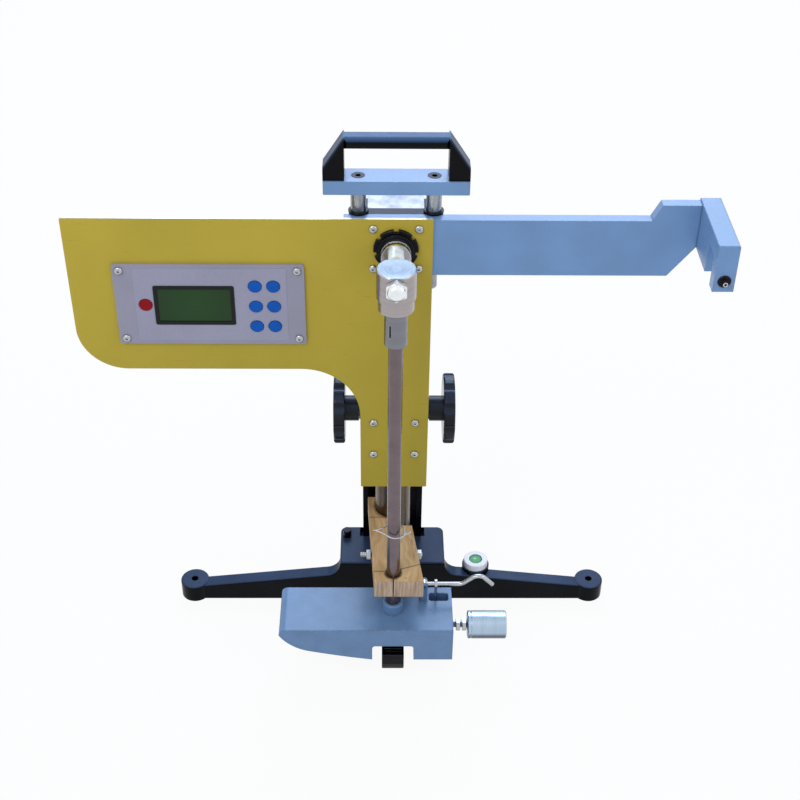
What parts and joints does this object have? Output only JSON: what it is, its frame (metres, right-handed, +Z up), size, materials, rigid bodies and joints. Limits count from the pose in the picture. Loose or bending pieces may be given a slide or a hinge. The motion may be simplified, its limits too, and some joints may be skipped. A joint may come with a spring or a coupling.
{
  "type": "pendulum skid resistance tester",
  "caption": "Pendulum friction tester: cast stand, lifting head with display panel, swinging arm with spring-loaded rubber slider and release catch.",
  "frame": {"origin": "on the column's axis, in the plane of the base's underside", "axes": "+Z up along the column, +X to the right seen from the front, +Y to the back"},
  "size_m": [0.6524, 0.3758, 0.6376],
  "materials": {
    "cast_iron_black": "black enamel over cast iron",
    "blue_enamel": "light blue hammer-smooth enamel",
    "mustard_enamel": "mustard yellow enamel, satin",
    "aluminium_cast": "as cast, machined faces",
    "grey_enamel": "lilac grey satin enamel",
    "steel_bright": "turned and ground",
    "steel_turned": "turned, bright",
    "steel_plated": "bright plated",
    "steel_black": "black oxide",
    "brass_plain": "plain",
    "knob_black": "moulded phenolic, gloss",
    "handle_black": "moulded nylon, satin",
    "cover_black": "moulded ABS",
    "board_green": "glass epoxy board",
    "cell_wrap": "shrink sleeve",
    "lcd_glass": "display glass",
    "vial_glass": "vial with tinted liquid",
    "key_blue": "moulded",
    "key_red": "moulded",
    "rubber_dark": "moulded test rubber",
    "hardwood": "planed, waxed"
  },
  "bodies": {
    "stand": {"base_casting": "cast_iron_black", "base_bolt": "steel_black", "level_housing": "steel_plated", "level_vial": "vial_glass", "column": "steel_bright", "column_rack": "steel_bright", "guide_post": "steel_black"},
    "head": {"head_body": "aluminium_cast", "head_bridge": "steel_black", "front_panel": "mustard_enamel", "panel_screws": "steel_plated", "display_plate": "grey_enamel", "display_window": "lcd_glass", "electronics_cover": "cover_black", "circuit_board": "board_green", "battery_pack": "cell_wrap", "catch_arm": "blue_enamel", "end_block": "blue_enamel", "head_fasteners": "steel_black", "handle_pillars": "steel_bright", "top_plate": "blue_enamel", "carrying_handle": "handle_black", "bearing_housing": "steel_black", "spindle_bearings": "steel_bright", "lock_ring": "steel_black"},
    "handwheel": {"knob_shaft": "steel_bright", "pinion": "brass_plain", "left_wheel": "knob_black", "right_wheel": "knob_black"},
    "lock": {"lock_screw": "steel_bright", "lock_knob": "knob_black"},
    "pendulum": {"spindle": "steel_plated", "hub": "steel_turned", "hub_nut": "steel_plated", "hub_collar": "steel_turned", "arm_socket": "steel_turned", "arm_tube": "steel_bright", "foot_casting": "blue_enamel", "pivot_pins": "steel_bright", "slider_spring": "steel_bright", "balance_stud": "steel_bright", "lock_nuts": "steel_plated"},
    "weight": {"balance_weight": "steel_turned"},
    "slider": {"slider_arm": "steel_bright", "slider_holder": "steel_black", "rubber_slider": "rubber_dark", "pull_pin": "steel_plated"},
    "lever": {"lifting_lever": "steel_plated"},
    "plunger": {"release_plunger": "steel_plated"},
    "clamp_left_half": {"clamp_left": "hardwood", "clamp_bolt": "steel_plated"},
    "clamp_right_half": {"clamp_right": "hardwood", "clamp_nut": "steel_plated"},
    "key_red_cap": {"key_red": "key_red"},
    "key_blue_1_cap": {"key_blue_1": "key_blue"},
    "key_blue_2_cap": {"key_blue_2": "key_blue"},
    "key_blue_3_cap": {"key_blue_3": "key_blue"},
    "key_blue_4_cap": {"key_blue_4": "key_blue"},
    "key_blue_5_cap": {"key_blue_5": "key_blue"},
    "key_blue_6_cap": {"key_blue_6": "key_blue"}
  },
  "joints": [
    {"name": "head_lift", "type": "slide", "parent": "stand", "child": "head", "axis": [0, 0, 1], "range_m": [-0.01, 0.015]},
    {"name": "handwheel_turn", "type": "hinge", "parent": "head", "child": "handwheel", "pos_m": [0, -0.03235, 0.3036], "axis": [1, 0, 0], "range_deg": [-100, 67]},
    {"name": "column_lock", "type": "hinge", "parent": "head", "child": "lock", "pos_m": [0, 0.06, 0.47], "axis": [0, 1, 0], "range_deg": [0, 270]},
    {"name": "pendulum_swing", "type": "hinge", "parent": "head", "child": "pendulum", "pos_m": [0, -0.1155, 0.523], "axis": [0, -1, 0], "range_deg": [-94, 94]},
    {"name": "balance_shift", "type": "slide", "parent": "pendulum", "child": "weight", "axis": [1, 0, 0], "range_m": [0, 0.008]},
    {"name": "slider_lift", "type": "hinge", "parent": "pendulum", "child": "slider", "pos_m": [0.06, -0.0964, 0.04], "axis": [0, 1, 0], "range_deg": [0, 4], "stiffness_Nm_per_rad": 6, "springref_deg": -20.05, "deforming": ["slider_spring"]},
    {"name": "lever_lift", "type": "hinge", "parent": "pendulum", "child": "lever", "pos_m": [0.036, -0.0964, 0.0954], "axis": [0, -1, 0], "range_deg": [0, 3.6]},
    {"name": "release_pull", "type": "slide", "parent": "head", "child": "plunger", "axis": [0, -1, 0], "range_m": [0, 0.006], "stiffness_N_per_m": 600, "springref_m": -0.004},
    {"name": "clamp_open_left", "type": "slide", "parent": "stand", "child": "clamp_left_half", "axis": [-0.7071, 0, 0.7071], "range_m": [0, 0.085]},
    {"name": "clamp_open_right", "type": "slide", "parent": "stand", "child": "clamp_right_half", "axis": [0.7071, 0, 0.7071], "range_m": [0, 0.085]},
    {"name": "press_key_red", "type": "slide", "parent": "head", "child": "key_red_cap", "axis": [0, 1, 0], "range_m": [0, 0.0005], "stiffness_N_per_m": 2000, "springref_m": -0.0003},
    {"name": "press_key_blue_1", "type": "slide", "parent": "head", "child": "key_blue_1_cap", "axis": [0, 1, 0], "range_m": [0, 0.0005], "stiffness_N_per_m": 2000, "springref_m": -0.0003},
    {"name": "press_key_blue_2", "type": "slide", "parent": "head", "child": "key_blue_2_cap", "axis": [0, 1, 0], "range_m": [0, 0.0005], "stiffness_N_per_m": 2000, "springref_m": -0.0003},
    {"name": "press_key_blue_3", "type": "slide", "parent": "head", "child": "key_blue_3_cap", "axis": [0, 1, 0], "range_m": [0, 0.0005], "stiffness_N_per_m": 2000, "springref_m": -0.0003},
    {"name": "press_key_blue_4", "type": "slide", "parent": "head", "child": "key_blue_4_cap", "axis": [0, 1, 0], "range_m": [0, 0.0005], "stiffness_N_per_m": 2000, "springref_m": -0.0003},
    {"name": "press_key_blue_5", "type": "slide", "parent": "head", "child": "key_blue_5_cap", "axis": [0, 1, 0], "range_m": [0, 0.0005], "stiffness_N_per_m": 2000, "springref_m": -0.0003},
    {"name": "press_key_blue_6", "type": "slide", "parent": "head", "child": "key_blue_6_cap", "axis": [0, 1, 0], "range_m": [0, 0.0005], "stiffness_N_per_m": 2000, "springref_m": -0.0003}
  ],
  "couplings": [
    {"joint": "handwheel_turn", "follows": "head_lift", "rad_per_m": -114.29},
    {"joint": "lever_lift", "follows": "slider_lift", "ratio": 0.86},
    {"joint": "clamp_open_right", "follows": "clamp_open_left", "ratio": 1}
  ]
}
